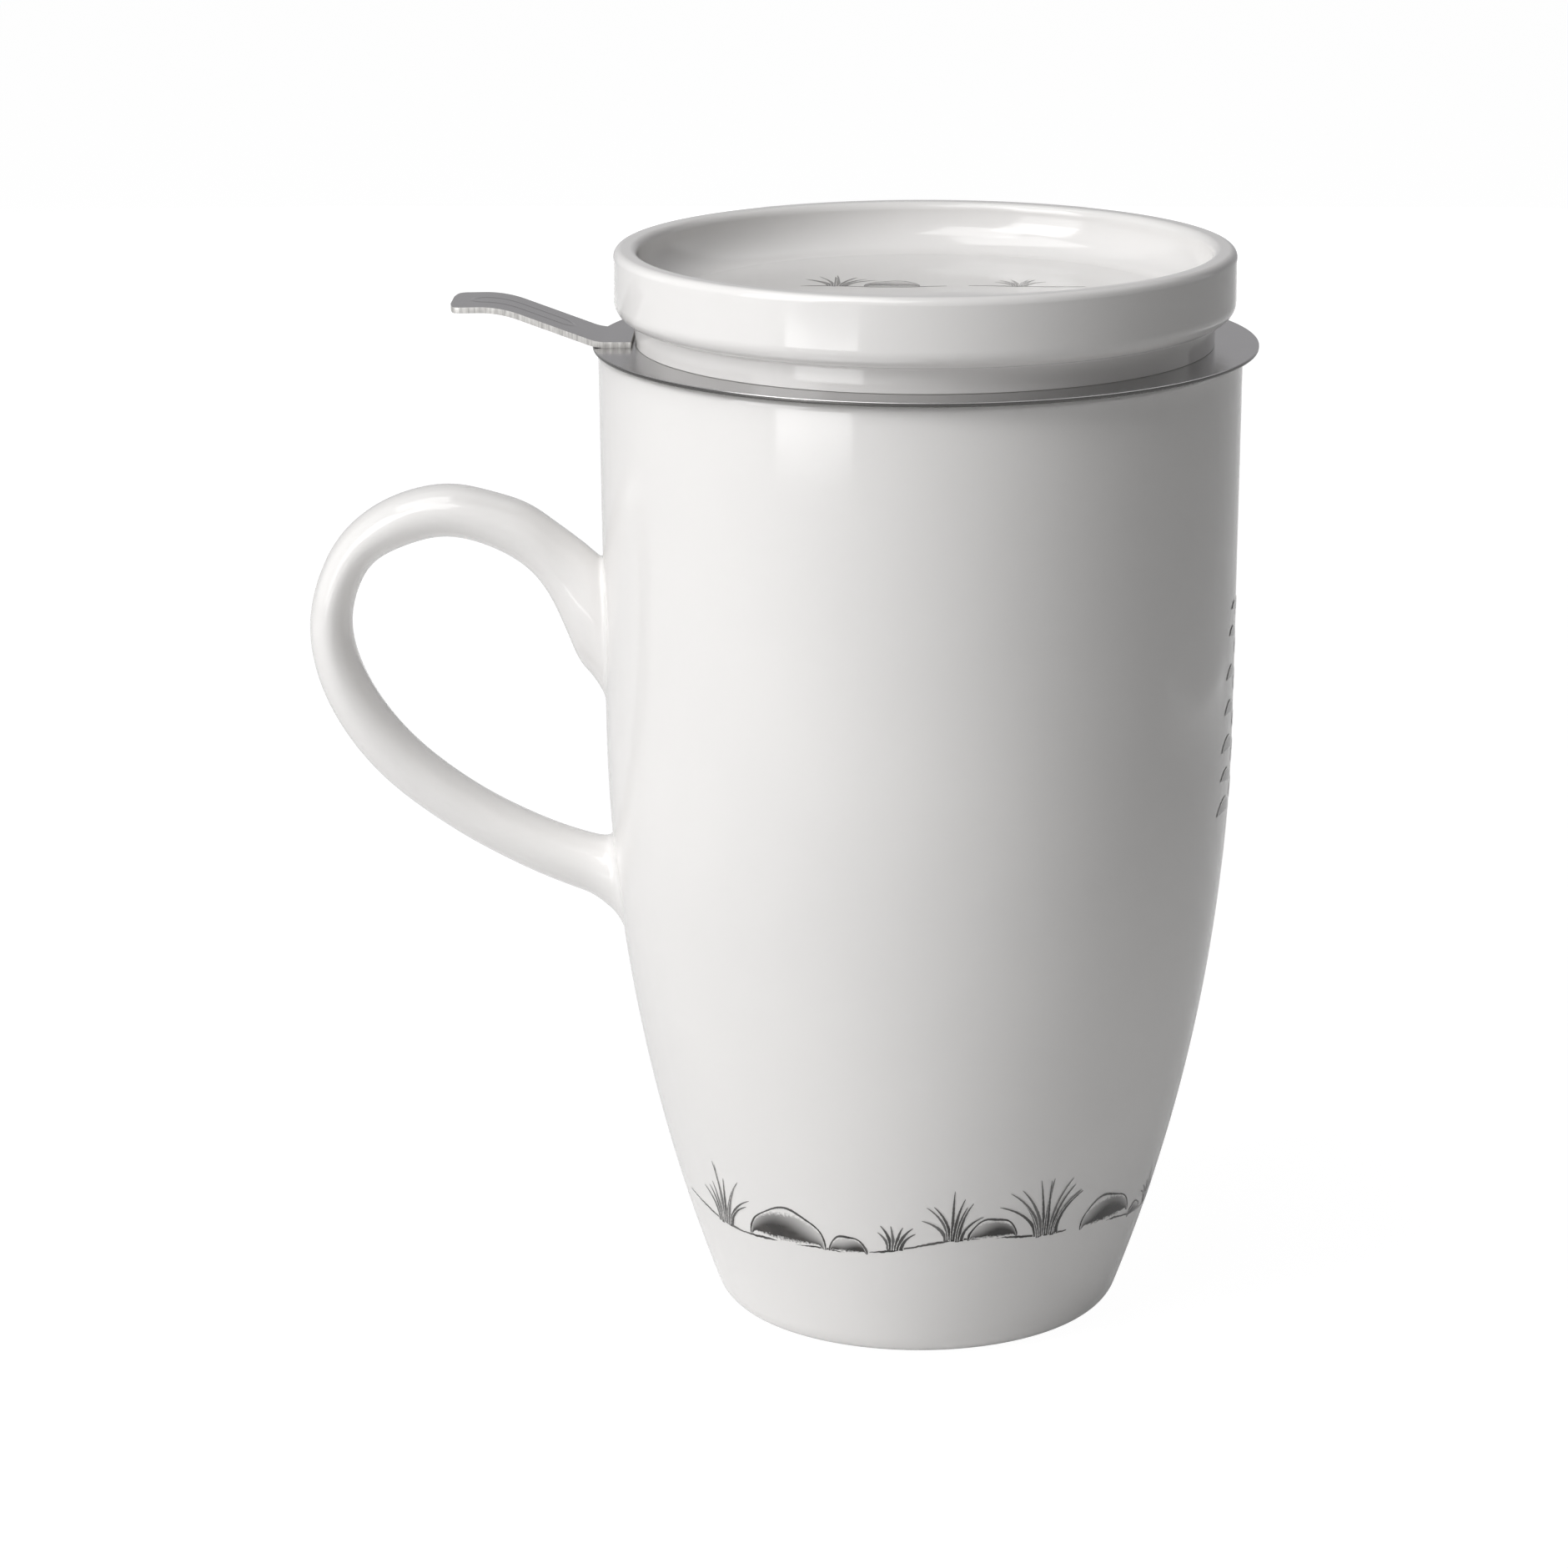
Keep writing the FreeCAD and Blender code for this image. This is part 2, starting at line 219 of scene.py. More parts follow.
def rounded(corners, closed=False, runs=corner_runs):
    """Outline points (r, z) of (r, z, rounding) corners. An open outline keeps its two ends."""
    points = []
    ends = () if closed else (0, len(corners) - 1)
    for index, (r, z, rounding) in enumerate(corners):
        here = Vector((r, z))
        if rounding == 0 or index in ends:
            points.append((r, z))
            continue
        back = (Vector(corners[index - 1][:2]) - here).normalized()
        ahead = (Vector(corners[(index + 1) % len(corners)][:2]) - here).normalized()
        half = back.angle(ahead) / 2
        centre = here + (back + ahead).normalized() * (rounding / math.sin(half))
        start = here + back * (rounding / math.tan(half)) - centre
        first = math.degrees(math.atan2(start.y, start.x))
        side = 1 if back.cross(ahead) < 0 else -1
        points += arc(centre, rounding, first, first + side * (180 - math.degrees(2 * half)), runs)
    return points


def side_lean():
    """Lean of the body's straight upper wall, in radians from upright."""
    return math.atan2(mouth_radius - belly_radius, mug_height - lip_round - belly_height)


def side_centre():
    """Centre (r, z) of the long arc of the body's lower side."""
    lean = side_lean()
    return (
        belly_radius - side_curve_radius * math.cos(lean),
        belly_height + side_curve_radius * math.sin(lean),
    )


def side_radius(z):
    """Radius of the body's outside at a height above the heel."""
    if z >= belly_height:
        return belly_radius + (z - belly_height) * math.tan(side_lean())
    centre_r, centre_z = side_centre()
    return centre_r + math.sqrt(side_curve_radius**2 - (z - centre_z) ** 2)


def side_outline(inset, bottom, corner, runs_round_corner, runs_up_side):
    """The body's side from its flat bottom up to the lip, offset inwards by inset."""
    centre_r, centre_z = side_centre()
    radius = side_curve_radius - inset
    corner_z = bottom + corner
    corner_r = centre_r + math.sqrt((radius - corner) ** 2 - (corner_z - centre_z) ** 2)
    low_angle = math.degrees(math.atan2(corner_z - centre_z, corner_r - centre_r))
    high_angle = -math.degrees(side_lean())
    points = arc((corner_r, corner_z), corner, -90, low_angle, runs_round_corner)
    points += arc((centre_r, centre_z), radius, low_angle, high_angle, runs_up_side)[1:]
    points.append((mouth_radius - inset, mug_height - lip_round))
    return points


# Mesh helpers

def ring_faces(low, high, count):
    """Faces between two rings of points, each ring given by its first point."""
    faces = []
    for step in range(count):
        beside = (step + 1) % count
        faces.append((low + step, low + beside, high + beside, high + step))
    return faces


def fan_faces(ring, tip, count):
    """Faces from a ring of points, given by its first one, to a single point."""
    return [(ring + step, ring + (step + 1) % count, tip) for step in range(count)]


def new_object(name, data):
    """A new object in the scene."""
    thing = bpy.data.objects.new(name, data)
    bpy.context.scene.collection.objects.link(thing)
    return thing


def new_piece(name, points, faces):
    """A mesh object with outward faces and smooth shading."""
    mesh = bpy.data.meshes.new(name)
    mesh.from_pydata(points, [], faces)
    work = bmesh.new()
    work.from_mesh(mesh)
    bmesh.ops.recalc_face_normals(work, faces=work.faces)
    work.to_mesh(mesh)
    work.free()
    mesh.shade_smooth()
    return new_object(name, mesh)


def even_normals(piece):
    """Broad faces decide the shading at the rounds beside them."""
    piece.modifiers.new("even_normals", "WEIGHTED_NORMAL")
    return piece


def turned(name, outline, centre=0.0, closed=False):
    """A mesh of revolution of an outline (r, z) about the upright axis at x = centre.

    A closed outline makes a ring. An open one starts and ends on the axis.
    """
    rows = outline if closed else outline[1:-1]
    count = turned_steps
    points = []
    for r, z in rows:
        for step in range(count):
            turn = 2 * math.pi * step / count
            points.append((centre + r * math.cos(turn), r * math.sin(turn), z))
    faces = []
    row_pairs = len(rows) if closed else len(rows) - 1
    for row in range(row_pairs):
        faces += ring_faces(row * count, (row + 1) % len(rows) * count, count)
    if not closed:
        for end, ring in ((outline[0], 0), (outline[-1], (len(rows) - 1) * count)):
            points.append((centre, 0, end[1]))
            faces += fan_faces(ring, len(points) - 1, count)
    return even_normals(new_piece(name, points, faces))


def cut_by(piece, cutter):
    """The cutter's holes go into the piece's mesh, and the cutter is removed."""
    cut = piece.modifiers.new("holes", "BOOLEAN")
    cut.operation = "DIFFERENCE"
    cut.solver = "MANIFOLD"
    cut.object = cutter
    bpy.context.view_layer.update()
    graph = bpy.context.evaluated_depsgraph_get()
    mesh = bpy.data.meshes.new_from_object(piece.evaluated_get(graph))
    piece.modifiers.clear()
    piece.data = mesh
    bpy.data.objects.remove(cutter)


def finish_piece(piece, body, slot, node, *materials):
    """The piece gets its materials, rides on its body and stands for its CAD node."""
    for material in materials:
        piece.data.materials.append(material)
    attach(piece, body)
    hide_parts(node)


# Materials

# Colours of glaze, bare clay, ink and steel, with a darker steel that paints shade on the rim's edge
GLAZE_LIGHT = (0.80, 0.787, 0.775, 1)
GLAZE_DEEP = (0.775, 0.763, 0.753, 1)
BISCUIT = (0.66, 0.62, 0.57, 1)
INK_BLACK = (0.005, 0.005, 0.005, 1)
INK_SEPIA = (0.022, 0.018, 0.015, 1)
SATIN_LIGHT = (0.39, 0.385, 0.385, 1)
SATIN_DARK = (0.35, 0.346, 0.346, 1)
BASKET_LIGHT = (0.34, 0.335, 0.33, 1)
BASKET_DARK = (0.30, 0.295, 0.29, 1)
# Darker steel for the rim's edge and the round under it: painted shade
PAINTED_SHADE_EDGE_LIGHT = (0.15, 0.145, 0.14, 1)
PAINTED_SHADE_EDGE_DARK = (0.10, 0.10, 0.10, 1)
SHEARED_TORN = (0.36, 0.35, 0.34, 1)
SHEARED_BRIGHT = (0.74, 0.73, 0.71, 1)
BLACK = (0, 0, 0, 1)
WHITE = (1, 1, 1, 1)

# Noise scales, in cells per metre
GLAZE_CLOUDS = 30.0
GLAZE_WAVES = 70.0
GLAZE_GLOSS = 220.0
BISCUIT_GRAIN = 900.0
INK_TINT = 300.0
INK_WASH = 420.0
INK_EDGE = 2600.0
STEEL_CLOUDS = 60.0
STEEL_GRAIN = 160.0
SHEARED_STREAKS = 600.0

# How much noise roughens a stroke's edges
INK_RAGGEDNESS = 0.6

# The foot ring is bare up to the first height and glazed from the second
BARE_BELOW = 0.25 * MM
GLAZED_ABOVE = 0.45 * MM

# Sockets of the Mix node for colours
MIX_FACTOR = 0
MIX_FIRST = 6
MIX_SECOND = 7
MIX_RESULT = 2


def new_material(name):
    """A material with its node tree and its shader."""
    material = bpy.data.materials.new(name)
    material.use_nodes = True
    return material, material.node_tree, material.node_tree.nodes["Principled BSDF"]


def fill(tree, node, values):
    """Inputs of a node get their values. Each is a plain value or a socket of another node."""
    for label, value in values.items():
        if isinstance(value, bpy.types.NodeSocket):
            tree.links.new(value, node.inputs[label])
        else:
            node.inputs[label].default_value = value


def new_node(tree, kind, values):
    """A node with its inputs filled."""
    node = tree.nodes.new("ShaderNode" + kind)
    fill(tree, node, values)
    return node


def object_place(tree):
    """Places in the object's own coordinates."""
    return tree.nodes.new("ShaderNodeTexCoord").outputs["Object"]


def noise(tree, scale, detail=2.0, stretch=None):
    """Noise on the object's own coordinates, stretched by a factor along each axis if given."""
    place = object_place(tree)
    if stretch:
        place = new_node(tree, "Mapping", {"Scale": stretch, "Vector": place}).outputs["Vector"]
    return new_node(tree, "TexNoise", {"Scale": scale, "Detail": detail, "Vector": place}).outputs["Fac"]


def spread(tree, value, low, high, from_low=0.3, from_high=0.7):
    """A value mapped from one range to another. Noise mostly lies in the range that is the default."""
    ranges = {"From Min": from_low, "From Max": from_high, "To Min": low, "To Max": high}
    return new_node(tree, "MapRange", {"Value": value, **ranges}).outputs["Result"]


def mixed(tree, factor, first, second):
    """Two colours mixed."""
    mix = tree.nodes.new("ShaderNodeMix")
    mix.data_type = "RGBA"
    fill(tree, mix, {MIX_FACTOR: factor, MIX_FIRST: first, MIX_SECOND: second})
    return mix.outputs[MIX_RESULT]


def calculated(tree, operation, *values):
    """The outcome of a calculation with two or three values."""
    node = tree.nodes.new("ShaderNodeMath")
    node.operation = operation
    fill(tree, node, dict(enumerate(values)))
    return node.outputs["Value"]


def attribute(tree, name):
    """The value of a mesh attribute."""
    node = tree.nodes.new("ShaderNodeAttribute")
    node.attribute_name = name
    return node.outputs["Fac"]


def relief(tree, height, strength, distance):
    """A fine relief, as the direction of the surface."""
    values = {"Strength": strength, "Distance": distance, "Height": height}
    return new_node(tree, "Bump", values).outputs["Normal"]


def glaze_colour(tree):
    """White glaze that varies a little in thickness."""
    return mixed(tree, spread(tree, noise(tree, GLAZE_CLOUDS), 0, 1), GLAZE_LIGHT, GLAZE_DEEP)


def glaze_surface(tree, shader, colour):
    """The colour under the glaze's gloss and its faint waves."""
    gloss = spread(tree, noise(tree, GLAZE_GLOSS), low=0.07, high=0.12)
    waves = relief(tree, noise(tree, GLAZE_WAVES), strength=0.10, distance=0.4 * MM)
    fill(tree, shader, {"Base Color": colour, "IOR": 1.5, "Roughness": gloss, "Normal": waves})


def porcelain_material():
    """White glaze all over."""
    material, tree, shader = new_material("white_glaze")
    glaze_surface(tree, shader, glaze_colour(tree))
    return material


def footed_porcelain_material():
    """White glaze with a bare, matt foot ring, where the body stood in the kiln."""
    material, tree, shader = new_material("white_glaze_bare_foot")
    height = new_node(tree, "SeparateXYZ", {"Vector": object_place(tree)}).outputs["Z"]
    bare = spread(tree, height, 1, 0, from_low=BARE_BELOW, from_high=GLAZED_ABOVE)
    biscuit = mixed(tree, noise(tree, BISCUIT_GRAIN), BISCUIT, GLAZE_DEEP)
    glaze_surface(tree, shader, mixed(tree, bare, glaze_colour(tree), biscuit))
    gloss = spread(tree, bare, low=0.09, high=0.7, from_low=0, from_high=1)
    fill(tree, shader, {"Roughness": gloss})
    return material


def ink_material():
    """Ink under the glaze.

    A stroke's across value fades its ragged edges, and its tone sets how dark it is.
    """
    material, tree, shader = new_material("ink_under_glaze")
    rough = noise(tree, INK_EDGE, detail=4.0)
    ragged = calculated(tree, "MULTIPLY_ADD", rough, INK_RAGGEDNESS, attribute(tree, "across"))
    cover = spread(tree, ragged, 1, 0, from_low=0.95, from_high=1.2)
    wash = spread(tree, noise(tree, INK_WASH, detail=3.0), low=0.97, high=1.0)
    dark = calculated(tree, "MULTIPLY", wash, attribute(tree, "tone"))
    amount = calculated(tree, "MULTIPLY", dark, cover)
    ink = mixed(tree, spread(tree, noise(tree, INK_TINT), 0, 1), INK_BLACK, INK_SEPIA)
    glaze_surface(tree, shader, mixed(tree, amount, glaze_colour(tree), ink))
    return material


def steel_surface(tree, shader, colour, gloss, height, strength):
    """Steel of a colour and a gloss, with a fine relief."""
    normal = relief(tree, height, strength, distance=0.02 * MM)
    values = {"Metallic": 1.0, "Base Color": colour, "Roughness": gloss, "Normal": normal}
    fill(tree, shader, values)


def steel_material(name, light, dark, roughness, grain):
    """Stainless sheet with a fine grain along X, by which its roughness varies."""
    material, tree, shader = new_material(name)
    colour = mixed(tree, noise(tree, STEEL_CLOUDS, detail=3.0), light, dark)
    scratches = noise(tree, STEEL_GRAIN, detail=4.0, stretch=(1.0, 24.0, 24.0))
    gloss = spread(tree, scratches, low=roughness - grain, high=roughness + grain)
    steel_surface(tree, shader, colour, gloss, scratches, strength=0.10)
    return material


def sheared_steel_material():
    """The sheared edge of the tab: bright, with burnished and torn streaks through the sheet."""
    material, tree, shader = new_material("sheared_steel")
    streaks = noise(tree, SHEARED_STREAKS, detail=4.0, stretch=(4.0, 4.0, 0.5))
    colour = mixed(tree, spread(tree, streaks, 0, 1), SHEARED_TORN, SHEARED_BRIGHT)
    gloss = spread(tree, streaks, low=0.60, high=0.42)
    steel_surface(tree, shader, colour, gloss, streaks, strength=0.2)
    return material


# Pieces

def make_body():
    """The body: side, lip, inside and a recessed foot ring."""
    floor_top = foot_recess + floor_thickness
    outer = side_outline(0, 0, heel_round, heel_runs, side_runs)
    inner = side_outline(wall, floor_top, floor_corner, floor_corner_runs, inner_side_runs)
    foot_edge = outer[0][0]
    ring_inside = foot_edge - foot_ring_width
    underside = rounded(
        [
            (0, foot_recess, 0),
            (ring_inside - foot_ring_slope, foot_recess, foot_ring_round),
            (ring_inside, 0, foot_ring_round),
            (foot_edge, 0, 0),
        ]
    )
    outer_top = outer[-1]
    inner_top = inner[-1]
    lip = arc((outer_top[0] - lip_round, outer_top[1]), lip_round, 0, 90)[1:]
    lip += arc((inner_top[0] + lip_round, inner_top[1]), lip_round, 90, 180)
    outline = underside + outer[1:] + lip + inner[-2::-1] + [(0, inner[0][1])]
    return turned("cup", outline)


def section_values():
    """Centre x and z, direction in radians, half depth and half width of each handle section."""
    last = len(handle_sections) - 1
    rows = []
    for index, (share_out, share_up, direction, depth_share) in enumerate(handle_sections):
        upper_flare = max(0.0, 1 - index / handle_upper_flare_sections)
        lower_flare = max(0.0, 1 - (last - index) / handle_lower_flare_sections)
        width = (
            handle_width
            + (handle_upper_root_width - handle_width) * upper_flare
            + (handle_lower_root_width - handle_width) * lower_flare
        )
        rows.append(
            (
                -belly_radius - share_out * handle_reach,
                handle_low + share_up * handle_rise,
                math.radians(direction),
                depth_share * handle_width / 2,
                width / 2,
            )
        )
    return rows


def smooth_row(rows, knots, at):
    """Values between rows by a cubic whose slopes come from the neighbouring rows."""
    index = 0
    while index < len(rows) - 2 and at > knots[index + 1]:
        index += 1
    span = knots[index + 1] - knots[index]
    t = (at - knots[index]) / span

    def slope(row, column):
        low = max(row - 1, 0)
        high = min(row + 1, len(rows) - 1)
        return (rows[high][column] - rows[low][column]) / (knots[high] - knots[low])

    values = []
    for column, (first, second) in enumerate(zip(rows[index], rows[index + 1])):
        values.append(
            first * (2 * t**3 - 3 * t**2 + 1)
            + slope(index, column) * span * (t**3 - 2 * t**2 + t)
            + second * (3 * t**2 - 2 * t**3)
            + slope(index + 1, column) * span * (t**3 - t**2)
        )
    return values


def outside_wall(point):
    """How far a point lies outside the body's side."""
    return math.hypot(point.x, point.y) - side_radius(point.z)


def on_wall(point, sunk=0.0):
    """The place on the body's side level with a point, or sunk into the wall by a depth."""
    share = (side_radius(point.z) - sunk) / math.hypot(point.x, point.y)
    return Vector((point.x * share, point.y * share, point.z))


class Handle:
    """The loop handle: a smooth sweep of ovals, which runs out onto the wall in small fillets.

    A place on it is a distance along it from the first section, with an angle round its oval.
    """

    def __init__(self):
        self.rows = section_values()
        self.knots = [0.0]
        for before, after in zip(self.rows, self.rows[1:]):
            self.knots.append(self.knots[-1] + math.hypot(after[0] - before[0], after[1] - before[1]))
        self.length = self.knots[-1]
        self.angles = [2 * math.pi * step / handle_steps for step in range(handle_steps)]

    def section(self, at):
        """The section at a place, evened out over a run that grows from the upper root."""
        run = handle_even_run * min(1, (at / self.knots[handle_even_section]) ** 2)
        samples = []
        for share in (-1, -0.5, 0, 0.5, 1):
            place = min(max(at + share * run, 0), self.length)
            samples.append(smooth_row(self.rows, self.knots, place))
        return [sum(values) / len(samples) for values in zip(*samples)]

    def surface(self, at, angle):
        """The point of the handle's surface at a place."""
        x, z, direction, half_depth, half_width = self.section(at)
        deep = math.cos(angle) * half_depth
        wide = math.sin(angle) * half_width
        return Vector((x + deep * math.cos(direction), wide, z + deep * math.sin(direction)))

    def crossing(self, buried, free, angle):
        """Where the handle's line at an angle leaves the wall, found by halving."""
        for _ in range(crossing_halvings):
            middle = (buried + free) / 2
            if outside_wall(self.surface(middle, angle)) > 0:
                free = middle
            else:
                buried = middle
        return (buried + free) / 2

    def fillet(self, at, towards, angle, size, middle):
        """Points of one fillet, from the handle's side down into the wall, and where it starts."""
        meeting = self.surface(at, angle)
        along = at
        while (self.surface(along, angle) - meeting).length < size:
            along += towards * size * fillet_search_step
        start = self.surface(along, angle)
        radial = Vector((meeting.x, meeting.y, 0)).normalized()
        away = meeting - middle
        away = (away - radial * away.dot(radial)).normalized()
        end = on_wall(meeting + away * size)
        points = []
        for step in range(fillet_steps + 1):
            t = step / fillet_steps
            points.append(start * (1 - t) ** 2 + meeting * 2 * t * (1 - t) + end * t**2)
        beyond = end + away * size * fillet_run_out
        points.append(on_wall(beyond, fillet_end_sunk))
        points.append(on_wall(beyond, handle_end_sunk))
        return points, along

    def root(self, buried, free, towards, size):
        """The fillets of one root, at every angle."""
        places = [self.crossing(buried, free, angle) for angle in self.angles]
        middle = sum((self.surface(at, angle) for at, angle in zip(places, self.angles)), Vector())
        middle /= handle_steps
        return [self.fillet(at, towards, angle, size, middle) for at, angle in zip(places, self.angles)]

    def columns(self):
        """Lines of points along the handle, one at each angle, from the upper root to the lower one."""
        upper_free = self.knots[handle_root_sections]
        lower_free = self.knots[-1 - handle_root_sections]
        upper = self.root(0.0, upper_free, 1, upper_root_fillet)
        lower = self.root(self.length, lower_free, -1, lower_root_fillet)
        columns = []
        for angle, (top, first), (bottom, last) in zip(self.angles, upper, lower):
            column = top[::-1]
            for step in range(1, handle_rows):
                column.append(self.surface(first + (last - first) * step / handle_rows, angle))
            columns.append(column + bottom)
        return columns

    def piece(self):
        """The handle as a closed mesh."""
        columns = self.columns()
        count = len(columns[0])
        points = [column[row] for row in range(count) for column in columns]
        faces = []
        for row in range(count - 1):
            faces += ring_faces(row * handle_steps, (row + 1) * handle_steps, handle_steps)
        for ring in (0, (count - 1) * handle_steps):
            points.append(sum(points[ring : ring + handle_steps], Vector()) / handle_steps)
            faces += fan_faces(ring, len(points) - 1, handle_steps)
        return new_piece("cup_handle", points, faces)


def make_rim():
    """The infuser's wide flat rim with its drawn collar. Its outer edge and the round under it get a
    darker steel, which is painted shade.
    """
    outside = basket_radius - basket_sheet - sleeve_clearance
    inside = outside - rim_sheet
    corners = [
        (rim_radius, rim_top, rim_top_round),
        (inside, rim_top, collar_bend + rim_sheet),
        (inside, rim_top - collar_depth, sheet_edge_round),
        (outside, rim_top - collar_depth, sheet_edge_round),
        (outside, rim_top - rim_sheet, collar_bend),
        (rim_radius, rim_top - rim_sheet, rim_under_round),
    ]
    rim = turned("infuser_flange", rounded(corners, closed=True), infuser_centre, closed=True)
    # The outer edge and the round under it take the darker steel: painted shade
    for polygon in rim.data.polygons:
        radius = math.hypot(polygon.center.x - infuser_centre, polygon.center.y)
        if radius > rim_radius - rim_under_round and polygon.center.z < rim_top - rim_top_round:
            polygon.material_index = SHADED_RIM_OR_SHEARED_TAB_EDGE
    return rim


def hole_cutters(name, holes):
    """One mesh of many short bars. Each hole has its place, and the axes along, up and across it."""
    points = []
    faces = []
    for place, along, up, across in holes:
        first = len(points)
        for end in (-hole_cutter_depth / 2, hole_cutter_depth / 2):
            for step in range(hole_steps):
                turn = 2 * math.pi * (step + 0.5) / hole_steps
                rise = up * (math.sin(turn) * hole_size / 2)
                aside = across * (math.cos(turn) * hole_size / 2)
                points.append(place + along * end + rise + aside)
        second = first + hole_steps
        faces += ring_faces(first, second, hole_steps)
        faces.append(tuple(reversed(range(first, second))))
        faces.append(tuple(range(second, second + hole_steps)))
    return new_piece(name, points, faces)


def perforated(piece, cutter):
    """The turned sheet with its holes. The sheet is shaded as truly round, the holes' walls as flat."""
    cut_by(piece, cutter)
    mesh = piece.data
    normals = []
    for polygon in mesh.polygons:
        flat = polygon.normal
        out = Vector((polygon.center.x - infuser_centre, polygon.center.y, 0)).normalized()
        round_face = abs(out.cross(flat).z) < hole_wall_turn
        for vertex in polygon.vertices:
            if round_face:
                place = mesh.vertices[vertex].co
                here = Vector((place.x - infuser_centre, place.y, 0)).normalized()
                normals.append(here * flat.dot(out) + Vector((0, 0, flat.z)))
            else:
                normals.append(flat)
    mesh.normals_split_custom_set(normals)
    return piece


def make_basket_wall():
    """The rolled, finely perforated sheet of the basket, with plain borders and a plain seam strip."""
    inside = basket_radius - basket_sheet
    corners = [
        (basket_radius, wall_high.z, 0),
        (inside, wall_high.z, 0),
        (inside, wall_low.z, 0),
        (basket_radius, wall_low.z, 0),
    ]
    sheet = turned("basket_wall", rounded(corners, closed=True), infuser_centre, closed=True)
    low = base_low.z + base_rim_height + hole_margin
    high = rim_top - collar_depth - hole_margin
    rows = int((high - low) / hole_row_step) + 1
    columns = int(2 * math.pi * basket_radius / hole_pitch)
    middle = basket_radius - basket_sheet / 2
    holes = []
    for row in range(rows):
        height = low + (high - low) * row / (rows - 1)
        for column in range(columns):
            turn = 2 * math.pi * (column + 0.5 * (row % 2)) / columns
            if abs(math.sin(turn / 2)) * 2 * basket_radius < seam_width / 2:
                continue
            along = Vector((math.cos(turn), math.sin(turn), 0))
            across = Vector((-math.sin(turn), math.cos(turn), 0))
            place = Vector((infuser_centre, 0, height)) + along * middle
            holes.append((place, along, Vector((0, 0, 1)), across))
    return perforated(sheet, hole_cutters("wall_holes", holes))


def make_basket_base():
    """The perforated base: a disc whose turned-up rim sleeves over the foot of the wall."""
    inside = basket_radius + sleeve_clearance
    outside = inside + basket_sheet
    bottom = base_low.z
    corners = [
        (0, bottom, 0),
        (outside, bottom, base_bend + basket_sheet),
        (outside, bottom + base_rim_height, sheet_edge_round),
        (inside, bottom + base_rim_height, sheet_edge_round),
        (inside, bottom + basket_sheet, base_bend),
        (0, bottom + basket_sheet, 0),
    ]
    cup = turned("basket_base", rounded(corners), infuser_centre)
    field = inside - base_bend - hole_margin
    reach = int(field / hole_row_step) + 1
    axes = (Vector((0, 0, 1)), Vector((0, 1, 0)), Vector((1, 0, 0)))
    holes = []
    for row in range(-reach, reach + 1):
        for column in range(-reach, reach + 1):
            x = (column + 0.5 * (row % 2)) * hole_pitch
            y = row * hole_row_step
            if math.hypot(x, y) < field:
                holes.append((Vector((infuser_centre + x, y, bottom + basket_sheet / 2)), *axes))
    return perforated(cup, hole_cutters("base_holes", holes))


def tab_half_width(x):
    """Half the tab's width at x: straight sides, round corners and a slightly bulged tip."""
    half = tab_high.y
    tip = tab_low.x
    centre = tip + tab_tip_bulge + tab_tip_corner * tab_tip_corner_share
    if x > centre:
        return half
    reach = (x - tip) / (centre - tip)
    corner = math.sqrt(max(0.0, 1 - (1 - reach) ** 2))
    bulge = (half - tab_tip_corner) * (1 - reach) ** tab_tip_power
    return half - tab_tip_corner * (1 - corner) - bulge


def tab_relief(run, across):
    """Height of the plain raised outline at a run from the root and a distance from the middle."""
    past = max(abs(run - outline_middle) - outline_half_straight, 0.0)
    distance = abs(math.hypot(past, across) - outline_end_radius)
    return outline_height * math.exp(-((distance / outline_half_width) ** 2))


def tab_rows():
    """Rows across the tab: x, z and heading of its underside, run from the root and half width."""
    x = tab_high.x
    z = rim_top
    heading = 0.0
    run = 0.0
    rows = [(x, z, heading, run, tab_half_width(x))]
    bend = math.radians(tab_slope_angle)
    crown = math.radians(tab_slope_angle + tab_droop_angle)
    for length, turn in (
        (tab_root_length, 0.0),
        (tab_bend_radius * bend, bend),
        (tab_slope_length, 0.0),
        (tab_crown_radius * crown, -crown),
        (tab_tip_length, 0.0),
    ):
        count = max(2, round(length / tab_step))
        for _ in range(count):
            middle = heading + turn / count / 2
            x -= math.cos(middle) * length / count
            z += math.sin(middle) * length / count
            heading += turn / count
            run += length / count
            if x > tab_low.x + tab_tip_end:
                rows.append((x, z, heading, run, tab_half_width(x)))
    return rows


def make_tab():
    """The lifting tab: a strip that lies on the rim, bends up and curves over to a rounded tip."""
    rows = tab_rows()
    points = []
    for level in (0, 1):
        for x, z, heading, run, half in rows:
            for column in range(tab_columns + 1):
                across = -half + 2 * half * column / tab_columns
                lift = level * (tab_sheet + tab_relief(run, across))
                points.append((x + lift * math.sin(heading), across, z + lift * math.cos(heading)))
    wide = tab_columns + 1
    top = len(rows) * wide
    last_row = len(rows) - 1
    broad = []
    for row in range(last_row):
        for column in range(tab_columns):
            a = row * wide + column
            b = a + wide
            broad.append((a, a + 1, b + 1, b))
            broad.append((top + a, top + b, top + b + 1, top + a + 1))
    edges = []
    for row in range(last_row):
        for column in (0, tab_columns):
            a = row * wide + column
            edges.append((a, a + wide, top + a + wide, top + a))
    for column in range(tab_columns):
        for row in (0, last_row):
            a = row * wide + column
            edges.append((a, a + 1, top + a + 1, top + a))
    piece = new_piece("lifting_tab", points, broad + edges)
    for polygon in piece.data.polygons:
        if polygon.index >= len(broad):
            polygon.material_index = SHADED_RIM_OR_SHEARED_TAB_EDGE
    bevel = piece.modifiers.new("edge_round", "BEVEL")
    bevel.width = tab_edge_round
    bevel.segments = tab_bevel_segments
    bevel.limit_method = "ANGLE"
    bevel.angle_limit = math.radians(tab_bevel_angle)
    return even_normals(piece)


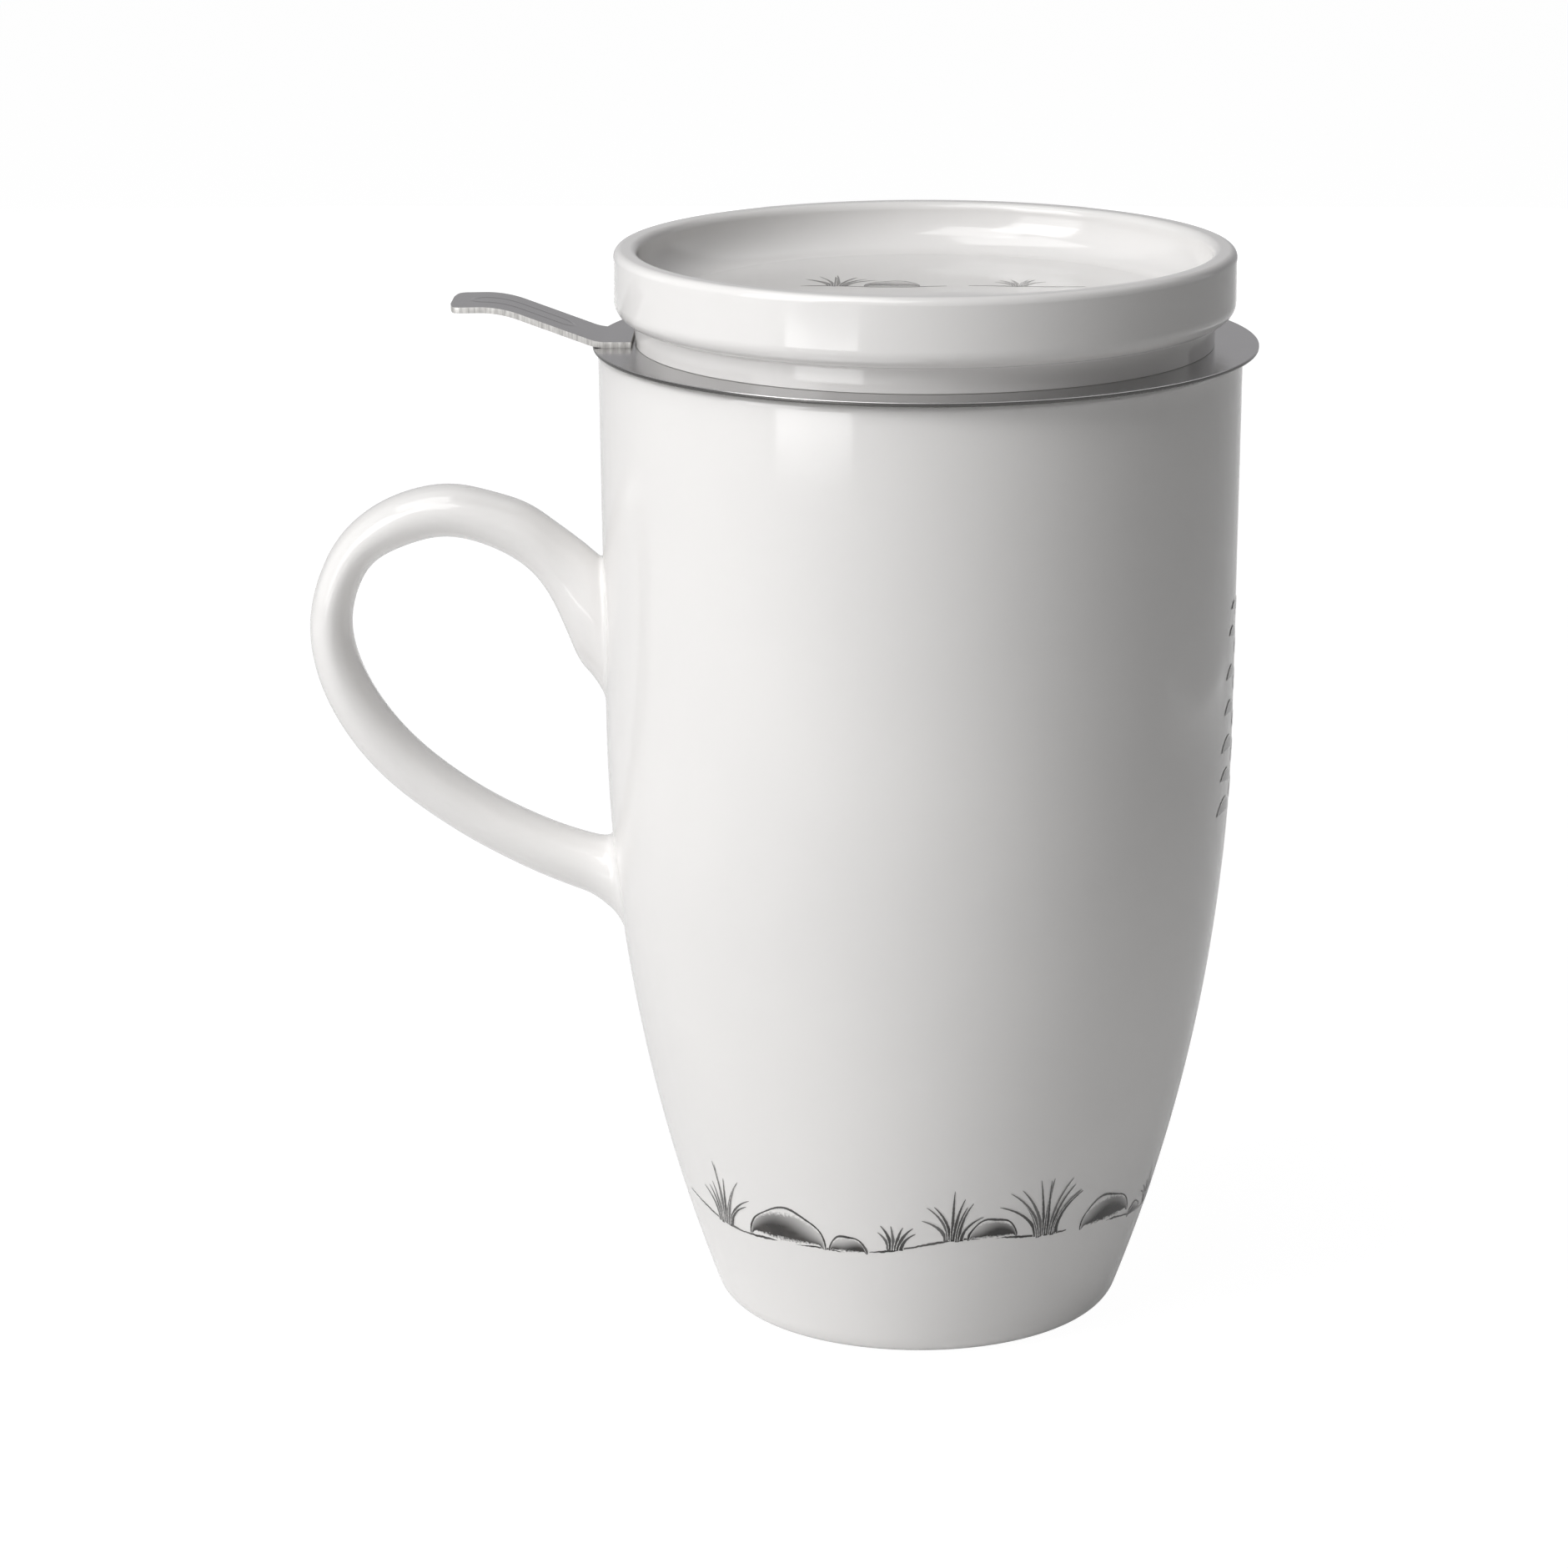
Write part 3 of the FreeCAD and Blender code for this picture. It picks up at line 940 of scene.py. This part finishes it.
def make_lid():
    """The lid: a shallow dish on a neck that stands on the rim, with a hollow spigot in the basket."""
    collar_inside = basket_radius - basket_sheet - sleeve_clearance - rim_sheet
    spigot_radius = collar_inside - spigot_play
    hollow_radius = spigot_radius - spigot_wall
    top = lid_high.z
    hollow_top = dish_floor - lid_floor
    corners = [
        (0, dish_floor, 0),
        (lid_radius - lid_edge, dish_floor, dish_corner),
        (lid_radius - lid_edge, top, lid_edge_round),
        (lid_radius, top, lid_edge_round),
        (lid_radius, rim_top + lid_lift, lid_lower_round),
        (neck_radius, rim_top + lid_lift, neck_round),
        (neck_radius, rim_top, neck_foot_round),
        (spigot_radius, rim_top, neck_foot_round),
        (spigot_radius, rim_top - spigot_depth, spigot_round),
        (hollow_radius, rim_top - spigot_depth, spigot_round),
        (hollow_radius, hollow_top, lid_floor),
        (0, hollow_top, 0),
    ]
    return turned("dish_lid", rounded(corners, runs=lid_corner_runs), lid_centre)


# Ink drawing under the glaze: a generic bank with stones and grass. It is laid out in plain
# millimetres, along the surface and up it, and each stroke is a thin ribbon just above the porcelain.

INK_LIFT = 0.02 * MM
STROKE_LIFT = 0.001 * MM

# Widths of the pen's lines
GROUND_LINE = 0.50
STONE_LINE = 0.48
STEM_LINE = 0.52

# Steps along each kind of stroke
GROUND_STEPS_PER_MM = 3
BLADE_STEPS = 14
STONE_STEPS = 36
STEM_STEPS = 30
LEAF_STEPS = 12

# Layout on the mug's side: ground lines from and to, stones by place, width and height, and tufts by
# place, height, number of blades and half width at the foot
BANK_LEVEL = 17.8
BANK_LINES = ((-41.0, -8.0), (-6.5, 22.0), (24.5, 50.0))
BANK_STONES = (
    (-19.0, 12.5, 5.6),
    (-9.5, 5.4, 2.7),
    (10.5, 7.0, 3.3),
    (30.0, 11.0, 4.6),
    (38.0, 4.2, 2.0),
)
BANK_TUFTS = (
    (-30.5, 10.0, 10, 1.6),
    (-3.0, 4.6, 6, 1.0),
    (5.0, 8.2, 8, 1.2),
    (18.5, 11.5, 11, 1.8),
    (43.5, 6.2, 7, 1.0),
)
STONE_SUNK = 0.2


def on_side(along, up, lift):
    """A place on the mug's side, along it from the front and up from the table."""
    radius = side_radius(up * MM) + lift
    turn = along * MM / radius
    return Vector((math.sin(turn) * radius, -math.cos(turn) * radius, up * MM))


def on_dish(along, up, lift):
    """A place on the floor of the lid's dish, along it and away from the front."""
    return Vector((lid_centre + along * MM, up * MM, dish_floor + lift))


class Drawing:
    """Brush strokes gathered into one mesh."""

    def __init__(self, place, seed):
        self.place = place
        self.random = random.Random(seed)
        self.lift = INK_LIFT
        self.points = []
        self.faces = []
        self.across = []
        self.tone = []

    def stroke(self, path, width, tone, sides=(-1, 0, 1)):
        """A ribbon along a path of (along, up) points.

        Its width is a function of the share of its length, its tone of that share and of the side.
        """
        last = len(path) - 1
        first = len(self.points)
        wide = len(sides)
        for index, here in enumerate(path):
            way = Vector(path[min(index + 1, last)]) - Vector(path[max(index - 1, 0)])
            left = Vector((-way.y, way.x)).normalized()
            share = index / last
            for side in sides:
                spot = Vector(here) + left * (side * width(share) / 2)
                self.points.append(self.place(spot.x, spot.y, self.lift))
                self.across.append(abs(side))
                self.tone.append(tone(share, side))
        for index in range(last):
            for column in range(wide - 1):
                a = first + wide * index + column
                self.faces.append((a, a + 1, a + wide + 1, a + wide))
        self.lift += STROKE_LIFT

    def line(self, path, width):
        """A fine pen line with a hand's uneven pressure, thinner at both ends."""
        phase = self.random.uniform(0, 6)
        waves = len(path) / 3

        def pressure(t):
            taper = min(1, 0.4 + 9 * t, 0.4 + 9 * (1 - t))
            return width * (0.8 + 0.2 * math.sin(waves * t + phase)) * taper

        self.stroke(path, pressure, lambda t, side: 0.96 + 0.04 * math.sin(0.7 * waves * t + phase))

    def ground(self, first, last, level):
        """A long wavering pen line, at a level that is a function of the place along it."""
        count = int((last - first) * GROUND_STEPS_PER_MM)
        path = []
        for step in range(count + 1):
            along = first + (last - first) * step / count
            path.append((along, level(along) + self.random.uniform(-0.05, 0.05)))
        self.line(path, GROUND_LINE)

    def blade(self, foot, height, lean, width, tone):
        """One grass blade that rises from its foot and bends over."""
        path = []
        for step in range(BLADE_STEPS + 1):
            t = step / BLADE_STEPS
            rise = height * (t - 0.22 * abs(lean) / height * t**3)
            path.append((foot[0] + lean * t**1.9, foot[1] + rise))
        self.stroke(path, lambda t: width * (1 - t) ** 0.7 + 0.08, lambda t, side: tone * (1 - 0.1 * t))

    def tuft(self, foot, height, blades, half_width):
        """A fan of blades, the tallest near the middle."""
        for index in range(blades):
            share = (index + 0.5) / blades * 2 - 1
            length = height * (1 - 0.45 * share**2) * self.random.uniform(0.72, 1.0)
            lean = (share * 0.75 + self.random.uniform(-0.16, 0.16)) * length
            start = (foot[0] + share * half_width, foot[1] + self.random.uniform(-0.3, 0.2))
            tone = self.random.choice((1.0, 1.0, 0.9))
            self.blade(start, length, lean, self.random.uniform(0.55, 0.80), tone)

    def stone(self, foot, width, height):
        """A rounded stone: a wash that darkens towards its foot, under an uneven pen outline."""
        shoulder = self.random.uniform(-0.12, 0.12)
        wash = []
        outline = []
        for step in range(STONE_STEPS + 1):
            t = step / STONE_STEPS
            middle = height * 0.47 * math.sin(math.pi * t) ** 0.4
            wash.append((foot[0] + width * 0.97 * (t - 0.5), foot[1] + middle))
            angle = math.pi * (1 - t)
            bump = 1 + 0.05 * math.sin(5 * angle + foot[0]) + shoulder * math.cos(angle)
            rise = height * 0.97 * math.sin(angle) * bump
            outline.append((foot[0] + width * 0.5 * math.cos(angle), foot[1] + rise))

        def shade(t, side):
            light = (side + 0.3 - 0.4 * math.sin(5 * t + foot[0])) / 1.2
            return 1 - 0.7 * min(1, max(0, light))

        self.stroke(
            wash,
            lambda t: height * 0.93 * math.sin(math.pi * t) ** 0.55 + 0.05,
            shade,
            [quarter / 4 for quarter in range(-4, 5)],
        )
        self.line(outline, STONE_LINE)

    def sprig(self, foot, length, lean, leaves, leaf_length):
        """A bending stem with slim leaves on both sides."""
        stem = []
        for step in range(STEM_STEPS + 1):
            t = step / STEM_STEPS
            stem.append((foot[0] + lean * t**1.6, foot[1] + length * t))
        self.line(stem, STEM_LINE)
        for index in range(leaves):
            t = 0.22 + 0.76 * index / (leaves - 1)
            base = Vector(stem[round(STEM_STEPS * t)])
            side = 1 if index % 2 else -1
            size = leaf_length * (1.15 - 0.5 * t) * self.random.uniform(0.85, 1.1)
            angle = math.radians(90 - side * self.random.uniform(42, 62)) - 0.5 * lean / length
            path = []
            for step in range(LEAF_STEPS + 1):
                s = step / LEAF_STEPS
                bend = angle - side * 0.5 * s
                path.append(tuple(base + Vector((math.cos(bend), math.sin(bend))) * size * s))
            self.stroke(
                path,
                lambda s: 0.26 * size * math.sin(math.pi * s) ** 0.8 + 0.05,
                lambda s, edge: 0.9 - 0.35 * s,
            )

    def piece(self, name):
        """The strokes as one mesh, whose points hold their across and tone values."""
        mesh = bpy.data.meshes.new(name)
        mesh.from_pydata(self.points, [], self.faces)
        mesh.shade_smooth()
        for label, values in (("across", self.across), ("tone", self.tone)):
            mesh.attributes.new(label, "FLOAT", "POINT").data.foreach_set("value", values)
        return new_object(name, mesh)


def bank(along):
    """Height of the drawn ground along the mug's side: a long wave and a short one."""
    return BANK_LEVEL + 1.3 * math.sin(along / 10.0 + 0.4) + 0.4 * math.sin(along / 3.7)


def make_side_drawing():
    """Stones and grass on a bank low on the mug, and a leafy sprig higher up on its right side."""
    drawing = Drawing(on_side, seed=11)
    for first, last in BANK_LINES:
        drawing.ground(first, last, bank)
    for along, width, height in BANK_STONES:
        drawing.stone((along, bank(along) - STONE_SUNK), width, height)
    for along, height, blades, half_width in BANK_TUFTS:
        drawing.tuft((along, bank(along)), height, blades, half_width)
    drawing.sprig((62.0, 64.0), length=38.0, lean=2.0, leaves=13, leaf_length=8.0)
    return drawing.piece("side_drawing")


def make_dish_drawing():
    """Two tufts, a stone and two thin ground lines on the floor of the lid's dish."""
    drawing = Drawing(on_dish, seed=5)
    drawing.ground(-17, 3, lambda along: 6.0 + 0.5 * math.sin(along / 3))
    drawing.ground(6, 22, lambda along: 6.3 + 0.4 * math.sin(along / 4))
    drawing.stone((-4.5, 6.0), width=7.5, height=4.5)
    drawing.tuft((-12.0, 6.3), height=9.0, blades=8, half_width=1.4)
    drawing.tuft((13.0, 6.4), height=6.0, blades=6, half_width=0.9)
    return drawing.piece("dish_drawing")


# The object

glaze = porcelain_material()
ink = ink_material()
footed_glaze = footed_porcelain_material()
satin_steel = steel_material("satin_steel", SATIN_LIGHT, SATIN_DARK, roughness=0.16, grain=0.05)
basket_steel = steel_material("basket_steel", BASKET_LIGHT, BASKET_DARK, roughness=0.28, grain=0.05)
# A darker steel on the rim's edge, which paints shade there
rim_edge_painted_shade = steel_material("rim_edge_painted_shade", PAINTED_SHADE_EDGE_LIGHT, PAINTED_SHADE_EDGE_DARK, roughness=0.28, grain=0.05)
sheared_steel = sheared_steel_material()

finish_piece(make_body(), "mug", "porcelain", "mug_body", footed_glaze)
finish_piece(Handle().piece(), "mug", "porcelain", "mug_handle", glaze)
finish_piece(make_rim(), "infuser", "steel", "infuser_rim", satin_steel, rim_edge_painted_shade)
finish_piece(make_basket_wall(), "infuser", "steel", "infuser_wall", basket_steel)
finish_piece(make_basket_base(), "infuser", "steel", "infuser_base", basket_steel)
finish_piece(make_tab(), "infuser", "steel", "infuser_tab", satin_steel, sheared_steel)
finish_piece(make_lid(), "lid", "porcelain", "lid", glaze)
for drawing, body in ((make_side_drawing(), "mug"), (make_dish_drawing(), "lid")):
    drawing.data.materials.append(ink)
    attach(drawing, body)


# Floor, light and camera

# The floor, just under the foot. Its white is the strength that rays see in place of its colour.
FLOOR_SIZE = 6.0
FLOOR_DROP = 0.02 * MM
FLOOR_COLOUR = (0.90, 0.90, 0.90, 1)
FLOOR_WHITE = 1.085

# The grey card behind the mug
CARD_PLACE = (0, 0.9, 0.55)
CARD_SIZE = (2.4, 1.1, 1)
CARD_GREY = (0.48, 0.475, 0.485, 1)

# Strength at which the world lights the object
AMBIENT = 0.02

# Lamps: name, azimuth from the camera's side to +X and elevation in degrees, distance, width and height
# in metres, power in watts, and whether reflections show it
LAMPS = (
    ("key_left", -55, 38, 1.0, 0.5, 0.5, 4.1, True),
    ("low_left", -55, 12, 1.0, 0.5, 0.5, 2.0, True),
    ("front_left", -30, 57, 1.0, 0.5, 0.5, 2.75, True),
    ("high_left", -90, 70, 1.0, 0.5, 0.5, 2.1, True),
    ("right_fill", 120, -10, 0.38, 0.3, 0.02, 0.058, False),
    ("table_glow", -36, -2.6, 0.42, 0.2, 0.032, 0.075, True),
    ("back_fill", 180, 6, 1.0, 0.4, 0.4, 2.6, False),
)
LAMP_AIM = Vector((0, 0, 80)) * MM

# Camera: it stands in front of the centre, raised by an angle in degrees, and looks at the aim
CAMERA_CENTRE = Vector((0, 0, 77.55)) * MM
CAMERA_AIM = Vector((-18.75, 0, 74.37)) * MM
CAMERA_DISTANCE = 723.8 * MM
CAMERA_ELEVATION = 14.8
CAMERA_ROLL = -0.186
SENSOR_WIDTH = 36.0
FOCAL_LENGTH = 119.36


def seen_share(tree, camera, glossy, transmission):
    """How much of the plain white is seen by camera rays, by reflections and through glass."""
    path = tree.nodes.new("ShaderNodeLightPath")
    total = 0
    for name, share in (
        ("Is Camera Ray", camera),
        ("Is Glossy Ray", glossy),
        ("Is Transmission Ray", transmission),
    ):
        total = calculated(tree, "MULTIPLY_ADD", path.outputs[name], share, total)
    return total


def make_floor():
    """A pale floor that looks white and keeps a soft shadow."""
    bpy.ops.mesh.primitive_plane_add(size=FLOOR_SIZE, location=(0, 0, -FLOOR_DROP))
    floor = bpy.context.object
    floor.name = "floor"
    material, tree, shader = new_material("pale_floor")
    fill(tree, shader, {"Base Color": FLOOR_COLOUR, "Roughness": 0.9})
    white = new_node(tree, "Emission", {"Color": WHITE, "Strength": FLOOR_WHITE})
    seen = seen_share(tree, camera=0.90, glossy=0.25, transmission=0.90)
    mix = new_node(tree, "MixShader", {0: seen, 1: shader.outputs["BSDF"], 2: white.outputs["Emission"]})
    fill(tree, tree.nodes["Material Output"], {"Surface": mix.outputs["Shader"]})
    floor.data.materials.append(material)


def make_card():
    """A grey card behind the mug, seen by reflections alone, which gives the steel its tone."""
    bpy.ops.mesh.primitive_plane_add(size=1.0, location=CARD_PLACE, rotation=(math.pi / 2, 0, 0))
    card = bpy.context.object
    card.name = "grey_card"
    card.scale = CARD_SIZE
    card.visible_camera = False
    card.visible_diffuse = False
    card.visible_transmission = False
    card.visible_shadow = False
    material, tree, shader = new_material("card_grey")
    fill(tree, shader, {"Base Color": BLACK, "Specular IOR Level": 0})
    fill(tree, shader, {"Emission Color": CARD_GREY, "Emission Strength": 1.0})
    card.data.materials.append(material)


def make_world():
    """A white background for camera, reflections and glass, which hardly lights the object."""
    world = bpy.data.worlds.new("studio")
    bpy.context.scene.world = world
    world.use_nodes = True
    tree = world.node_tree
    seen = seen_share(tree, camera=1, glossy=1, transmission=1)
    strength = spread(tree, seen, low=AMBIENT, high=1.0, from_low=0, from_high=1)
    fill(tree, tree.nodes["Background"], {"Color": WHITE, "Strength": strength})


def make_lamp(name, azimuth, elevation, distance, width, height, power, mirrored):
    """A soft rectangular lamp aimed at the mug."""
    turn = math.radians(azimuth)
    rise = math.radians(elevation)
    way = Vector((math.sin(turn) * math.cos(rise), -math.cos(turn) * math.cos(rise), math.sin(rise)))
    data = bpy.data.lights.new(name, "AREA")
    data.shape = "RECTANGLE"
    data.size = width
    data.size_y = height
    data.energy = power
    lamp = new_object(name, data)
    lamp.visible_glossy = mirrored
    lamp.location = LAMP_AIM + way * distance
    lamp.rotation_euler = (-way).to_track_quat("-Z", "Y").to_euler()


def make_camera():
    """A camera at the photograph's angle: from the front, a little above, with a long lens."""
    elevation = math.radians(CAMERA_ELEVATION)
    way = Vector((0, -math.cos(elevation), math.sin(elevation)))
    place = CAMERA_CENTRE + way * CAMERA_DISTANCE
    data = bpy.data.cameras.new("camera")
    data.sensor_width = SENSOR_WIDTH
    data.lens = FOCAL_LENGTH
    camera = new_object("camera", data)
    camera.location = place
    roll = Quaternion((0, 0, 1), math.radians(CAMERA_ROLL))
    look = (CAMERA_AIM - place).to_track_quat("-Z", "Y") @ roll
    camera.rotation_euler = look.to_euler()
    bpy.context.scene.camera = camera


make_floor()
make_card()
make_world()
for lamp in LAMPS:
    make_lamp(*lamp)
make_camera()
bpy.context.scene.view_settings.view_transform = "Standard"
